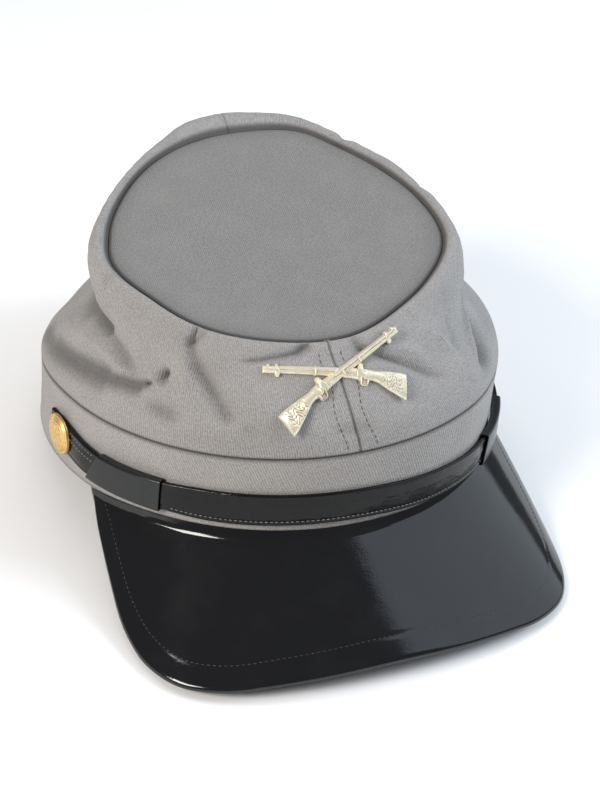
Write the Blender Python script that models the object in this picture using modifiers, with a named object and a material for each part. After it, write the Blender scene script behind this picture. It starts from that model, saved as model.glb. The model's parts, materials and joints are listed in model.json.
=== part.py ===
# Grey twill forage cap with a patent peak, a chin strap, side buttons and a crossed muskets badge
# The cap's own frame has the band's bottom edge at z = 0, the front at -Y and the wearer's left at +X

import math

import bmesh
import bpy
from mathutils import Matrix, Vector

# Band, in metres: a stiffened oval ring that leans a little to one side at its top seam
BAND_HALF_WIDTH = 0.092
BAND_HALF_LENGTH = 0.1013
BAND_HEIGHT = 0.0362
BAND_WALL = 0.0025
BAND_ROUND = 0.0005
SEAM_FLARE_X = 0.0025
SEAM_FLARE_Y = 0.001
SEAM_SHIFT_X = 0.0044
SEAM_SHIFT_Y = -0.0009
SEAM_SLOPE_X = 0.03
SEAM_SLOPE_Y = 0.026

# Crown: the round top piece lies on a plane that falls to the front
TOP_RADIUS = 0.063
TOP_CENTRE_X = -0.002
TOP_CENTRE_Y = -0.021
TOP_RISE = 0.0515
TOP_SLOPE = 0.32
TOP_THICKNESS = 0.002
TOP_SAG = 0.0012
SIDE_CLOTH = 0.0015
SIDE_SWELL = 0.010
ROLL_OUT = 0.0065
ROLL_RISE = 0.0012
FOLD_DEPTH = 0.006
FOLD_START = 0.05
FOLD_EASE = 0.2
FOLD_END_EASE = 0.08

# Peak: its inner edge laps a little up the band's outer face
PEAK_END_DEG = 66.7
PEAK_REACH = 0.0408
PEAK_THICKNESS = 0.0016
PEAK_SLOPE = 0.763
PEAK_FLATTEN = 0.418
PEAK_LEAN = 0.0009
PEAK_END_WIDTH = 0.0022
PEAK_LAP = 0.0028
PEAK_LAP_REACH = 0.0065

# Chin strap with its keepers
STRAP_WIDTH = 0.0116
STRAP_THICKNESS = 0.0014
STRAP_RIDGE = 0.0004
STRAP_RISE = 0.0123
STRAP_DROOP = 0.0042
STRAP_STAND = 0.0012
STRAP_TAIL_DEG = 5.0
KEEPER_WALL = 0.0005
KEEPER_LENGTH_DEG = 19.0
KEEPER_RIGHT_DEG = -55.0
KEEPER_LEFT_DEG = 50.5

# Side buttons
BUTTON_RADIUS = 0.0080
BUTTON_HEIGHT = 0.0024
BUTTON_DEG = 78.0

# Badge: two muskets crossed
MUSKET_LENGTH = 0.0545
MUSKET_DEPTH = 0.0016
MUSKET_STEP = 0.0007
BADGE_DEG = -2.0
BADGE_CLIMB = 0.70
BADGE_BEND = 0.110
BADGE_SCAN_DEG = 30

# Clearance between pieces
GAP = 0.0003

# Columns of the round pieces: close together over the front, where the cloth is folded, and wider behind
FRONT_DEG = 105.0
FRONT_STEP_DEG = 3.0
BACK_STEP_DEG = 7.5
STRAP_STEP_DEG = 4.5
PEAK_COLUMNS = 36
BUTTON_STEPS = 28
SHARP_DEG = 40

# The top seam's oval as the cloth pulls it: size at each angle from the front, as a share of the full oval
SEAM_SHAPE = [
    # deg, share
    (-150, 0.890),
    (-130, 0.895),
    (-120, 0.910),
    (-110, 0.955),
    (-95, 1.005),
    (-75, 1.000),
    (30, 1.000),
    (45, 0.980),
    (65, 0.942),
    (85, 0.928),
    (120, 0.920),
    (150, 0.895),
    (180, 0.885),
]

# The top piece's edge: radius at each angle from the front, as a share of TOP_RADIUS
TOP_EDGE = [
    # deg, radius
    (-165, 0.965),
    (-140, 0.950),
    (-120, 0.960),
    (-100, 1.010),
    (-85, 1.050),
    (-65, 1.000),
    (-45, 1.000),
    (-20, 0.980),
    (5, 0.985),
    (30, 0.950),
    (50, 0.975),
    (74, 1.040),
    (95, 1.005),
    (115, 0.970),
    (135, 0.975),
    (152, 1.030),
    (172, 0.990),
]

# How far the side cloth stands out of the straight line from band to top, as shares of SIDE_SWELL,
# and how far its roll at the top reaches, as a share of ROLL_OUT
SIDE_SECTIONS = [
    # deg, low, middle, high, roll
    (-150, 0.00, -0.20, -0.20, 1.05),
    (-130, -0.45, -0.80, -0.80, 0.80),
    (-113, -0.40, -0.95, -1.00, 0.95),
    (-95, 0.30, -0.45, -0.65, 1.15),
    (-75, 0.35, 0.10, -0.10, 0.95),
    (-55, 0.35, 0.35, 0.10, 0.75),
    (-30, 0.40, 0.50, 0.30, 0.70),
    (0, 0.40, 0.50, 0.40, 0.70),
    (30, 0.40, 0.45, 0.40, 0.80),
    (48, 0.15, 0.00, 0.10, 0.85),
    (66, -0.30, -0.40, -0.05, 0.95),
    (90, -0.40, -0.50, -0.25, 0.95),
    (120, 0.10, 0.00, 0.00, 1.10),
    (150, 0.20, 0.20, 0.20, 1.40),
    (180, 0.30, 0.40, 0.30, 2.20),
]
SECTION_CLIMBS = (0.0, 0.2, 0.45, 0.7, 1.0)

# The side cloth's line upwards: climb from band to top, share of ROLL_OUT outwards, share of ROLL_RISE,
# and how upright it stands there instead of leaning to the top piece
SIDE_LINE = [
    # climb, out, rise, upright
    (0.00, 0.00, 0.0, 1.0),
    (0.025, 0.00, 0.0, 1.0),
    (0.08, 0.00, 0.0, 0.45),
    (0.18, 0.00, 0.0, 0.1),
    (0.29, 0.02, 0.0, 0.0),
    (0.38, 0.05, 0.0, 0.0),
    (0.47, 0.10, 0.0, 0.0),
    (0.56, 0.19, 0.0, 0.0),
    (0.65, 0.34, 0.0, 0.0),
    (0.74, 0.56, 0.0, 0.0),
    (0.83, 0.80, 0.0, 0.0),
    (0.91, 0.98, 0.0, 0.0),
    (0.97, 0.95, 0.4, 0.0),
    (1.00, 0.68, 1.0, 0.0),
    (1.00, 0.32, 0.8, 0.0),
    (1.00, 0.00, -0.6, 0.0),
]

# Folds of the side cloth: a valley has a positive depth and a ridge a negative one
# Ends are given by angle and climb, the width is a share of BAND_HEIGHT, the depth of FOLD_DEPTH
FOLDS = [
    # from_deg, from_climb, to_deg, to_climb, width, depth
    (-112, 0.72, -88, 0.67, 0.13, 0.90),
    (-88, 0.67, -74, 0.655, 0.12, 0.70),
    (-74, 0.655, -57, 0.46, 0.12, 0.35),
    (-97, 0.36, -73, 0.50, 0.16, -0.25),
    (-94, 0.16, -68, 0.31, 0.14, 0.60),
    (-68, 0.31, -57, 0.37, 0.12, 0.50),
    (-50, 0.62, -50, 0.47, 0.12, 0.30),
    (-51, 0.26, -42, 0.24, 0.13, 0.30),
    (-48, 0.80, -41, 0.52, 0.12, -0.20),
    (-43, 0.97, -42, 0.74, 0.12, 0.40),
    (-42, 0.74, -35, 0.49, 0.12, 0.50),
    (-35, 0.49, -30, 0.26, 0.13, 0.40),
    (-11, 0.97, -27, 0.88, 0.12, 0.25),
    (6, 0.95, 16, 0.67, 0.12, 0.45),
    (16, 0.67, 26, 0.29, 0.12, 0.35),
    (32, 0.76, 33, 0.47, 0.12, -0.25),
    (33, 0.47, 30, 0.24, 0.12, -0.20),
    (48, 0.94, 41, 0.72, 0.12, 0.30),
    (41, 0.72, 36, 0.45, 0.12, 0.35),
    (59, 0.91, 49, 0.65, 0.12, -0.25),
    (49, 0.65, 37, 0.22, 0.12, -0.25),
    (62, 0.72, 52, 0.45, 0.14, 0.45),
    (52, 0.45, 38, 0.14, 0.13, 0.55),
    (-9, 0.20, 5, 0.16, 0.13, 0.20),
]

# The strap's course: height and stand-off from the band, as shares of STRAP_DROOP and STRAP_STAND,
# and its width, which the keepers draw in
STRAP_COURSE = [
    # deg, droop, stand, width
    (-90, -1.15, 0.2, 1.00),
    (-78, -1.00, 0.2, 1.00),
    (-69, -0.45, 0.9, 0.96),
    (-62, -0.18, 1.0, 0.90),
    (-46, -0.12, 1.0, 0.90),
    (-36, 0.00, 0.2, 1.00),
    (0, 0.00, 0.2, 1.00),
    (22, 0.70, 0.3, 1.00),
    (38, 1.00, 1.0, 0.92),
    (62, 1.00, 1.0, 0.90),
    (74, 0.80, 0.2, 1.00),
    (90, 0.70, 0.2, 1.00),
]

# The strap's section: height as a share of its width, thickness share, ridge share
STRAP_SECTION = [
    # up, thick, ridge
    (-0.50, 0.0, 0.0),
    (-0.50, 0.8, 0.0),
    (-0.42, 1.0, 0.0),
    (-0.18, 1.0, 0.0),
    (-0.08, 1.0, 1.0),
    (0.02, 1.0, 0.0),
    (0.16, 1.0, 0.0),
    (0.28, 1.0, 1.0),
    (0.42, 1.0, 1.0),
    (0.50, 0.8, 0.0),
    (0.50, 0.0, 0.0),
]

# Half of the peak's outline from the end at the band to the middle of the front
PEAK_OUTLINE = [
    # across, forward
    (0.940, -1.145),
    (0.966, -0.475),
    (0.960, -0.138),
    (0.928, 0.185),
    (0.853, 0.482),
    (0.745, 0.679),
    (0.597, 0.822),
    (0.306, 0.961),
    (0.000, 1.000),
]

# How far the peak laps up the band, as a share of PEAK_LAP
PEAK_LAPS = [
    # deg, lap
    (-66, 0.40),
    (-52, 0.85),
    (-35, 1.00),
    (5, 1.00),
    (20, 0.60),
    (34, 0.30),
    (66, 0.30),
]

# Shares of the way from the band to the peak's outline where its surface has points
PEAK_SHARES = (0.0, 0.07, 0.16, 0.35, 0.65, 0.92, 1.0)

# Muzzle and butt of the two muskets from the badge's middle, across and up, as shares of MUSKET_LENGTH
UNDER_ENDS = ((-0.505, 0.140), (0.450, -0.065))
OVER_ENDS = ((0.445, 0.265), (-0.455, -0.200))

# A musket from muzzle to butt, in shares of MUSKET_LENGTH: place along it, upper and lower edge
# and thickness as a share of MUSKET_DEPTH
MUSKET = [
    # along, upper, lower, thick
    (0.000, 0.014, -0.014, 0.5),
    (0.030, 0.016, -0.016, 0.7),
    (0.055, 0.034, -0.016, 0.7),
    (0.075, 0.016, -0.016, 0.7),
    (0.150, 0.020, -0.022, 0.8),
    (0.165, 0.032, -0.050, 0.9),
    (0.190, 0.032, -0.050, 0.9),
    (0.205, 0.022, -0.026, 0.8),
    (0.330, 0.024, -0.030, 0.8),
    (0.345, 0.034, -0.040, 0.9),
    (0.365, 0.034, -0.040, 0.9),
    (0.380, 0.026, -0.032, 0.8),
    (0.520, 0.030, -0.040, 0.9),
    (0.620, 0.034, -0.046, 1.0),
    (0.645, 0.075, -0.050, 1.0),
    (0.680, 0.070, -0.095, 1.0),
    (0.710, 0.036, -0.095, 1.0),
    (0.740, 0.030, -0.050, 1.0),
    (0.790, 0.024, -0.056, 1.0),
    (0.880, 0.020, -0.100, 1.0),
    (0.985, 0.018, -0.150, 0.9),
    (1.000, 0.010, -0.145, 0.7),
]


def columns_round():
    """Angles of the round pieces' columns, once round from the front's right end."""
    front = round(2 * FRONT_DEG / FRONT_STEP_DEG)
    back = round((360 - 2 * FRONT_DEG) / BACK_STEP_DEG)
    angles = [-FRONT_DEG + 2 * FRONT_DEG * i / front for i in range(front)]
    return angles + [FRONT_DEG + (360 - 2 * FRONT_DEG) * i / back for i in range(back)]


def column(table, index):
    return [row[index] for row in table]


def hermite(places, values, place):
    """Smooth curve through the values, held at both ends."""
    if place <= places[0]:
        return values[0]
    if place >= places[-1]:
        return values[-1]
    last = len(places) - 1
    i = max(k for k in range(last) if places[k] <= place)

    def slope(k):
        low, high = max(k - 1, 0), min(k + 1, last)
        return (values[high] - values[low]) / (places[high] - places[low])

    span = places[i + 1] - places[i]
    t = (place - places[i]) / span
    start = (2 * t**3 - 3 * t**2 + 1) * values[i] + (t**3 - 2 * t**2 + t) * span * slope(i)
    end = (3 * t**2 - 2 * t**3) * values[i + 1] + (t**3 - t**2) * span * slope(i + 1)
    return start + end


def all_round(table, index, deg):
    """The same curve closed into a ring, at an angle from the front."""
    rows = [(row[0] + turn, row[index]) for turn in (-360, 0, 360) for row in table]
    deg = (deg + 180) % 360 - 180
    return hermite(column(rows, 0), column(rows, 1), deg)


def smooth_step(value):
    value = min(max(value, 0.0), 1.0)
    return value * value * (3 - 2 * value)


def outward(deg):
    """Level unit vector square to the band's oval."""
    angle = math.radians(deg)
    return Vector((math.sin(angle) / BAND_HALF_WIDTH, -math.cos(angle) / BAND_HALF_LENGTH, 0)).normalized()


def oval(deg, half_width, half_length):
    angle = math.radians(deg)
    return Vector((half_width * math.sin(angle), -half_length * math.cos(angle), 0))


def seam_point(deg):
    """Where the band's outer face meets the crown."""
    point = oval(deg, BAND_HALF_WIDTH + SEAM_FLARE_X, BAND_HALF_LENGTH + SEAM_FLARE_Y)
    point *= all_round(SEAM_SHAPE, 1, deg)
    point += Vector((SEAM_SHIFT_X, SEAM_SHIFT_Y, BAND_HEIGHT))
    point.z += SEAM_SLOPE_X * point.x + SEAM_SLOPE_Y * point.y
    return point


def band_point(deg, height, out=0.0):
    """A point on the band's outer face, or out of it, at a height above the bottom edge."""
    top = seam_point(deg)
    bottom = oval(deg, BAND_HALF_WIDTH, BAND_HALF_LENGTH)
    return bottom.lerp(top, height / top.z) + outward(deg) * out


def top_frame():
    """Middle of the top piece, its two directions in the plane and its normal."""
    middle = Vector((TOP_CENTRE_X, TOP_CENTRE_Y, BAND_HEIGHT + TOP_RISE))
    across = Vector((1, 0, 0))
    back = Vector((0, 1, TOP_SLOPE)).normalized()
    return middle, across, back, across.cross(back)


def top_edge(deg, inset=0.0):
    """A point at the top piece's edge, and the direction outwards in its plane."""
    middle, across, back, normal = top_frame()
    angle = math.radians(deg)
    direction = across * math.sin(angle) - back * math.cos(angle)
    radius = TOP_RADIUS * all_round(TOP_EDGE, 1, deg)
    return middle + direction * (radius - inset), direction


def side_point(deg, row, folds=True):
    """A point of the crown's side cloth, outer face, at one place of SIDE_LINE (row may be a fraction)."""
    rows = range(len(SIDE_LINE))
    climb = hermite(rows, column(SIDE_LINE, 0), row)
    out = hermite(rows, column(SIDE_LINE, 1), row)
    rise = hermite(rows, column(SIDE_LINE, 2), row)
    upright = hermite(rows, column(SIDE_LINE, 3), row)
    start = seam_point(deg) + Vector((0, 0, GAP))
    end, direction = top_edge(deg, -GAP)
    normal = top_frame()[3]
    chord = end - start
    square = outward(deg)
    square = (square - chord * (square.dot(chord) / chord.dot(chord))).normalized()
    swell = [0.0] + [all_round(SIDE_SECTIONS, k, deg) for k in (1, 2, 3)] + [0.0]
    swell = SIDE_SWELL * hermite(SECTION_CLIMBS, swell, climb)
    if folds:
        swell -= fold_depth(deg, climb)
    roll = direction * (ROLL_OUT * out * all_round(SIDE_SECTIONS, 4, deg))
    leaning = start + chord * climb + square * swell + roll + normal * (ROLL_RISE * rise)
    standing = start + Vector((0, 0, chord.length * climb))
    return leaning.lerp(standing, upright)


def fold_depth(deg, climb):
    """Depth of all the folds at a place of the side cloth."""
    reach = 0.5 * (BAND_HALF_WIDTH + BAND_HALF_LENGTH)
    height = TOP_RISE
    total = 0.0
    for from_deg, from_climb, to_deg, to_climb, width, depth in FOLDS:
        start = Vector((math.radians(from_deg) * reach, from_climb * height))
        along = Vector((math.radians(to_deg) * reach, to_climb * height)) - start
        place = Vector((math.radians(deg) * reach, climb * height)) - start
        share = min(max(place.dot(along) / along.dot(along), 0.0), 1.0)
        off = (place - along * share).length / (width * BAND_HEIGHT)
        total += FOLD_DEPTH * depth * math.exp(-off * off)
    low = smooth_step((climb - FOLD_START) / FOLD_EASE)
    high = smooth_step((1 - climb) / FOLD_END_EASE)
    return total * low * high


def add_object(name, mesh, parent, looks):
    mesh.materials.append(looks)
    mesh.shade_smooth()
    mesh.set_sharp_from_angle(angle=math.radians(SHARP_DEG))
    piece = bpy.data.objects.new(name, mesh)
    parts.objects.link(piece)
    piece.parent = parent
    return piece


def loft(name, sections, wrap=False, caps=False):
    """Mesh through a row of closed sections with the same number of points each.

    A wrapped loft joins the last section to the first, and caps close the two end sections.
    """
    count = len(sections[0])
    points = [point for section in sections for point in section]
    faces = []
    rows = len(sections) if wrap else len(sections) - 1
    for i in range(rows):
        here, there = i * count, (i + 1) % len(sections) * count
        for k in range(count):
            after = (k + 1) % count
            faces.append((here + k, there + k, there + after, here + after))
    if caps:
        faces.append(tuple(range(count)))
        faces.append(tuple(reversed(range((len(sections) - 1) * count, len(sections) * count))))
    mesh = bpy.data.meshes.new(name)
    mesh.from_pydata(points, [], faces)
    mesh.update()
    return mesh


def strip(name, rows):
    """Open sheet through rows of points, each row closed into a ring."""
    count = len(rows[0])
    points = [point for row in rows for point in row]
    faces = []
    for i in range(len(rows) - 1):
        for k in range(count):
            after = (k + 1) % count
            faces.append((i * count + k, i * count + after, (i + 1) * count + after, (i + 1) * count + k))
    mesh = bpy.data.meshes.new(name)
    mesh.from_pydata(points, [], faces)
    mesh.update()
    return mesh


def material(name, colour, roughness, metallic=0.0, coat=0.0):
    looks = bpy.data.materials.new(name)
    looks.use_nodes = True
    shader = looks.node_tree.nodes["Principled BSDF"]
    shader.inputs["Base Color"].default_value = (*colour, 1)
    shader.inputs["Roughness"].default_value = roughness
    shader.inputs["Metallic"].default_value = metallic
    shader.inputs["Coat Weight"].default_value = coat
    return looks


def make_band(parent, cloth):
    """Oval ring with a flat bottom rim, its edges eased by BAND_ROUND."""
    sections = []
    for deg in columns_round():
        top = seam_point(deg).z
        profile = [
            (0.0, -BAND_WALL + BAND_ROUND),
            (0.0, -BAND_ROUND),
            (BAND_ROUND, 0.0),
            (top - BAND_ROUND, 0.0),
            (top, -BAND_ROUND),
            (top, -BAND_WALL + BAND_ROUND),
            (top - BAND_ROUND, -BAND_WALL),
            (BAND_ROUND, -BAND_WALL),
        ]
        sections.append([band_point(deg, height, out) for height, out in profile])
    add_object("band", loft("band", sections, wrap=True), parent, cloth)


def make_crown_side(parent, cloth):
    """One layer of cloth from the top seam to the edge of the top piece, thickened inwards."""
    rows = [[side_point(deg, row) for deg in columns_round()] for row in range(len(SIDE_LINE))]
    piece = add_object("crown_side", strip("crown_side", rows), parent, cloth)
    thicken = piece.modifiers.new("cloth", "SOLIDIFY")
    thicken.thickness = SIDE_CLOTH
    thicken.offset = -1
    thicken.use_even_offset = True
    thicken.use_rim = True


def make_crown_top(parent, cloth):
    """Slightly sagging round of cloth, its edge just inside the side cloth's roll."""
    normal = top_frame()[3]
    middle = top_frame()[0]
    rows = []
    layers = [
        # share of the radius, depth below the upper face as a share of the thickness
        (0.98, 1.0),
        (1.00, 0.7),
        (1.00, 0.3),
        (0.98, 0.0),
        (0.55, 0.0),
    ]
    for share, depth in layers:
        sag = TOP_SAG * (1 - share * share)
        row = []
        for deg in columns_round():
            edge = top_edge(deg)[0]
            row.append(middle.lerp(edge, share) - normal * (TOP_THICKNESS * depth + sag))
        rows.append(row)
    mesh = strip("crown_top", rows)
    shape = bmesh.new()
    shape.from_mesh(mesh)
    rings = list(shape.verts)
    around = len(rows[0])
    for ring, depth in ((rings[:around], 1.0), (rings[-around:], 0.0)):
        hub = shape.verts.new(middle - normal * (TOP_THICKNESS * depth + TOP_SAG))
        for i in range(around):
            shape.faces.new((ring[i], ring[(i + 1) % around], hub))
    bmesh.ops.recalc_face_normals(shape, faces=shape.faces)
    shape.to_mesh(mesh)
    shape.free()
    add_object("crown_top", mesh, parent, cloth)


def peak_outline(share):
    """Outer edge of the peak, from one end at the band (-1) over the front (0) to the other (1)."""
    end = oval(PEAK_END_DEG, BAND_HALF_WIDTH, BAND_HALF_LENGTH)
    half = [(end.x, end.y - PEAK_END_WIDTH)]
    half += [(x * BAND_HALF_WIDTH, -BAND_HALF_LENGTH - y * PEAK_REACH) for x, y in PEAK_OUTLINE]
    points = half + [(-x, y) for x, y in reversed(half[:-1])]
    places = [0.0]
    for here, there in zip(points, points[1:]):
        places.append(places[-1] + math.dist(here, there))
    middle = places[-1] / 2
    place = middle * (1 + share)
    x = hermite(places, column(points, 0), place)
    y = hermite(places, column(points, 1), place)
    lean = PEAK_LEAN * smooth_step(4 - 4 * abs(share))
    return Vector((lean - x, y, 0))


def peak_drop(point):
    """Height of the peak's upper face at a place in plan: it falls away from the band's front."""
    across = min(abs(point.x) / BAND_HALF_WIDTH, 0.999)
    reach = -BAND_HALF_LENGTH * math.sqrt(1 - across * across) - point.y
    fall = PEAK_SLOPE * (1 - PEAK_FLATTEN * (point.x / BAND_HALF_WIDTH) ** 2)
    return -fall * max(reach, 0.0)


def make_peak(parent, patent):
    """Leather from its lap on the band to its outline: each section is cut from the band outwards."""
    deep = PEAK_THICKNESS * math.hypot(1, PEAK_SLOPE)
    sections = []
    for i in range(PEAK_COLUMNS + 1):
        turn = -1 + 2 * i / PEAK_COLUMNS
        deg = turn * PEAK_END_DEG
        lap = PEAK_LAP * hermite(column(PEAK_LAPS, 0), column(PEAK_LAPS, 1), deg)
        root = band_point(deg, lap, GAP)
        root.z = 0
        edge = peak_outline(turn)
        length = (edge - root).length
        upper = []
        for share in PEAK_SHARES:
            point = root.lerp(edge, share)
            lift = lap * (1 - smooth_step(share * length / min(PEAK_LAP_REACH, length)))
            upper.append(point + Vector((0, 0, peak_drop(point) - GAP + lift)))
        lower = [point - Vector((0, 0, deep)) for point in upper]
        sections.append(lower + upper[::-1])
    add_object("peak", loft("peak", sections, caps=True), parent, patent)


def strap_place(deg):
    """Height of the strap's middle line, its stand-off from the band and its width."""
    degs = column(STRAP_COURSE, 0)
    height = STRAP_RISE - STRAP_DROOP * hermite(degs, column(STRAP_COURSE, 1), deg)
    stand = STRAP_STAND * hermite(degs, column(STRAP_COURSE, 2), deg)
    width = STRAP_WIDTH * hermite(degs, column(STRAP_COURSE, 3), deg)
    return height, max(stand, GAP), width


def make_strap(parent, patent):
    """Flat strap with raised ridges, from button to button over the front."""
    end = BUTTON_DEG + STRAP_TAIL_DEG
    steps = round(2 * end / STRAP_STEP_DEG)
    sections = []
    for i in range(steps + 1):
        deg = -end + 2 * end * i / steps
        height, stand, width = strap_place(deg)
        section = []
        for up, thick, ridge in STRAP_SECTION:
            out = stand + STRAP_THICKNESS * thick + STRAP_RIDGE * ridge
            section.append(band_point(deg, height + up * width, out))
        sections.append(section)
    add_object("chin_strap", loft("chin_strap", sections, caps=True), parent, patent)


def make_keeper(name, middle_deg, parent, patent):
    """Loop of thin leather round the strap."""
    steps = max(round(KEEPER_LENGTH_DEG / STRAP_STEP_DEG), 2)
    sections = []
    for i in range(steps + 1):
        deg = middle_deg + KEEPER_LENGTH_DEG * (i / steps - 0.5)
        height, stand, width = strap_place(deg)
        inner_up = width / 2 + GAP
        outer_up = inner_up + KEEPER_WALL
        face = stand + STRAP_THICKNESS + STRAP_RIDGE + GAP
        back = stand - GAP
        outer = [(-outer_up, back - KEEPER_WALL), (-outer_up, face + KEEPER_WALL)]
        outer += [(outer_up, face + KEEPER_WALL), (outer_up, back - KEEPER_WALL)]
        inner = [(-inner_up, back), (-inner_up, face), (inner_up, face), (inner_up, back)]
        sections.append(
            [[band_point(deg, height + up, out) for up, out in ring] for ring in (outer, inner)]
        )
    loop = [section[0] for section in sections] + [section[1] for section in reversed(sections)]
    add_object(name, loft(name, loop, wrap=True), parent, patent)


def make_button(name, deg, parent, brass):
    """Domed button with a rim, turned about the line square to the strap."""
    profile = [
        # share of the radius, share of the height
        (0.00, 1.00),
        (0.35, 0.97),
        (0.62, 0.84),
        (0.82, 0.60),
        (0.88, 0.46),
        (0.93, 0.50),
        (1.00, 0.36),
        (1.00, 0.10),
        (0.92, 0.00),
        (0.00, 0.00),
    ]
    points = [(BUTTON_RADIUS * r, 0, BUTTON_HEIGHT * h) for r, h in profile]
    mesh = bpy.data.meshes.new(name)
    mesh.from_pydata(points, [(i, i + 1) for i in range(len(points) - 1)], [])
    piece = add_object(name, mesh, parent, brass)
    turn = piece.modifiers.new("turned", "SCREW")
    turn.steps = BUTTON_STEPS
    turn.render_steps = BUTTON_STEPS
    turn.use_merge_vertices = True
    turn.merge_threshold = 0.00001
    height, stand, width = strap_place(deg)
    face = stand + STRAP_THICKNESS + STRAP_RIDGE + GAP
    below = band_point(deg, height - width / 2, face)
    above = band_point(deg, height + width / 2, face)
    up = (above - below).normalized()
    axis = outward(deg)
    axis = (axis - up * axis.dot(up)).normalized()
    side = up.cross(axis)
    place = Matrix((side, up, axis)).transposed().to_4x4()
    place.translation = band_point(deg, height, face)
    piece.matrix_basis = place


def badge_frame():
    """Where the badge lies: its middle on the crown's front and its across, up and outward directions."""
    rows = column(SIDE_LINE, 0)
    row = next(k for k in range(len(rows)) if rows[k] >= BADGE_CLIMB)
    row -= (rows[row] - BADGE_CLIMB) / (rows[row] - rows[row - 1])
    middle = side_point(BADGE_DEG, row, folds=False)
    across = side_point(BADGE_DEG + 2, row, folds=False) - side_point(BADGE_DEG - 2, row, folds=False)
    above = side_point(BADGE_DEG, row + 1, folds=False) - side_point(BADGE_DEG, row - 1, folds=False)
    across.normalize()
    up = (above - across * above.dot(across)).normalized()
    return middle, across, up, across.cross(up)


def badge_seat():
    """How far the badge's back stands off its middle so that it lies on the fullest part of the cloth."""
    middle, across, up, out = badge_frame()
    half = 0.5 * MUSKET_LENGTH
    seat = 0.0
    for row in range(len(SIDE_LINE)):
        for step in range(-BADGE_SCAN_DEG, BADGE_SCAN_DEG + 1):
            off = side_point(BADGE_DEG + step, row) - middle
            x, y = off.dot(across), off.dot(up)
            if abs(x) < half and abs(y) < half:
                seat = max(seat, off.dot(out) + x * x / (2 * BADGE_BEND))
    return seat + GAP


def badge_point(frame, seat, flat, height):
    """A flat place of the badge bent about an upright axis, with its height above the badge's back."""
    middle, across, up, out = frame
    bend = flat.x * flat.x / (2 * BADGE_BEND)
    return middle + across * flat.x + up * flat.y + out * (seat + height - bend)


def musket_mesh(name, ends, lift):
    """One musket lofted from MUSKET, from muzzle to butt, its lock upwards."""
    frame = badge_frame()
    seat = badge_seat()
    muzzle, butt = [Vector(end) * MUSKET_LENGTH for end in ends]
    along = (butt - muzzle).normalized()
    across = Vector((-along.y, along.x))
    if across.y < 0:
        across = -across
    sections = []
    for place, upper, lower, thick in MUSKET:
        middle = muzzle + (butt - muzzle) * place
        depth = MUSKET_DEPTH * thick
        ease = 0.25 * (upper - lower)
        ring = [(lower, 0.0), (lower, 0.6), (lower + ease, 1.0), (upper - ease, 1.0), (upper, 0.6), (upper, 0.0)]
        section = []
        for edge, share in ring:
            flat = middle + across * (edge * MUSKET_LENGTH)
            section.append(badge_point(frame, seat, flat, (lift + depth) * share))
        sections.append(section)
    mesh = loft(name, sections, caps=True)
    shape = bmesh.new()
    shape.from_mesh(mesh)
    bmesh.ops.recalc_face_normals(shape, faces=shape.faces)
    shape.to_mesh(mesh)
    shape.free()
    return mesh


def make_badge(parent, gold):
    """Two muskets crossed, joined where they meet."""
    badge = add_object("badge", musket_mesh("badge", OVER_ENDS, MUSKET_STEP), parent, gold)
    lower = bpy.data.objects.new("badge_under", musket_mesh("badge_under", UNDER_ENDS, 0.0))
    cutters.objects.link(lower)
    lower.parent = parent
    lower.display_type = "WIRE"
    lower.hide_render = True
    join = badge.modifiers.new("crossed", "BOOLEAN")
    join.operation = "UNION"
    join.solver = "EXACT"
    join.object = lower


def world_points(names):
    graph = bpy.context.evaluated_depsgraph_get()
    found = []
    for name in names:
        piece = bpy.data.objects[name].evaluated_get(graph)
        found += [piece.matrix_world @ vertex.co for vertex in piece.data.vertices]
    return found


def rest(frame):
    """Tips the cap back until the peak's front edge and the back of the band stand at one height."""
    peak = world_points(["peak"])
    band = world_points(["band"])
    low, high = 0.0, math.radians(30)
    for _ in range(40):
        tilt = 0.5 * (low + high)
        turn = Matrix.Rotation(-tilt, 3, "X")
        if min((turn @ point).z for point in peak) < min((turn @ point).z for point in band):
            low = tilt
        else:
            high = tilt
    frame.rotation_euler.x = -tilt
    bpy.context.view_layer.update()
    points = world_points([piece.name for piece in parts.objects if piece.type == "MESH"])
    lowest = [min(point[k] for point in points) for k in range(3)]
    highest = [max(point[k] for point in points) for k in range(3)]
    frame.location = (-(lowest[0] + highest[0]) / 2, -(lowest[1] + highest[1]) / 2, -lowest[2])
    bpy.context.view_layer.update()


for old in list(bpy.data.objects):
    bpy.data.objects.remove(old, do_unlink=True)

parts = bpy.data.collections.new("forage_cap")
cutters = bpy.data.collections.new("cutters")
for group in (parts, cutters):
    bpy.context.scene.collection.children.link(group)
cutters.hide_render = True

cap_frame = bpy.data.objects.new("cap_frame", None)
parts.objects.link(cap_frame)

band_cloth = material("band_twill", (0.29, 0.28, 0.26), 0.9)
side_cloth = material("side_twill", (0.29, 0.28, 0.26), 0.9)
top_cloth = material("top_twill", (0.24, 0.24, 0.23), 0.9)
peak_patent = material("peak_patent", (0.012, 0.012, 0.013), 0.25, coat=0.6)
strap_patent = material("strap_patent", (0.008, 0.008, 0.008), 0.15, coat=0.8)
keeper_patent = material("keeper_patent", (0.02, 0.024, 0.022), 0.35, coat=0.3)
brass = material("button_brass", (0.83, 0.56, 0.24), 0.3, metallic=1.0)
gold = material("badge_gold", (0.85, 0.72, 0.46), 0.35, metallic=1.0)

make_band(cap_frame, band_cloth)
make_crown_side(cap_frame, side_cloth)
make_crown_top(cap_frame, top_cloth)
make_peak(cap_frame, peak_patent)
make_strap(cap_frame, strap_patent)
make_keeper("keeper_right", KEEPER_RIGHT_DEG, cap_frame, keeper_patent)
make_keeper("keeper_left", KEEPER_LEFT_DEG, cap_frame, keeper_patent)
make_button("button_right", -BUTTON_DEG, cap_frame, brass)
make_button("button_left", BUTTON_DEG, cap_frame, brass)
make_badge(cap_frame, gold)
bpy.context.view_layer.update()
rest(cap_frame)
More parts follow.
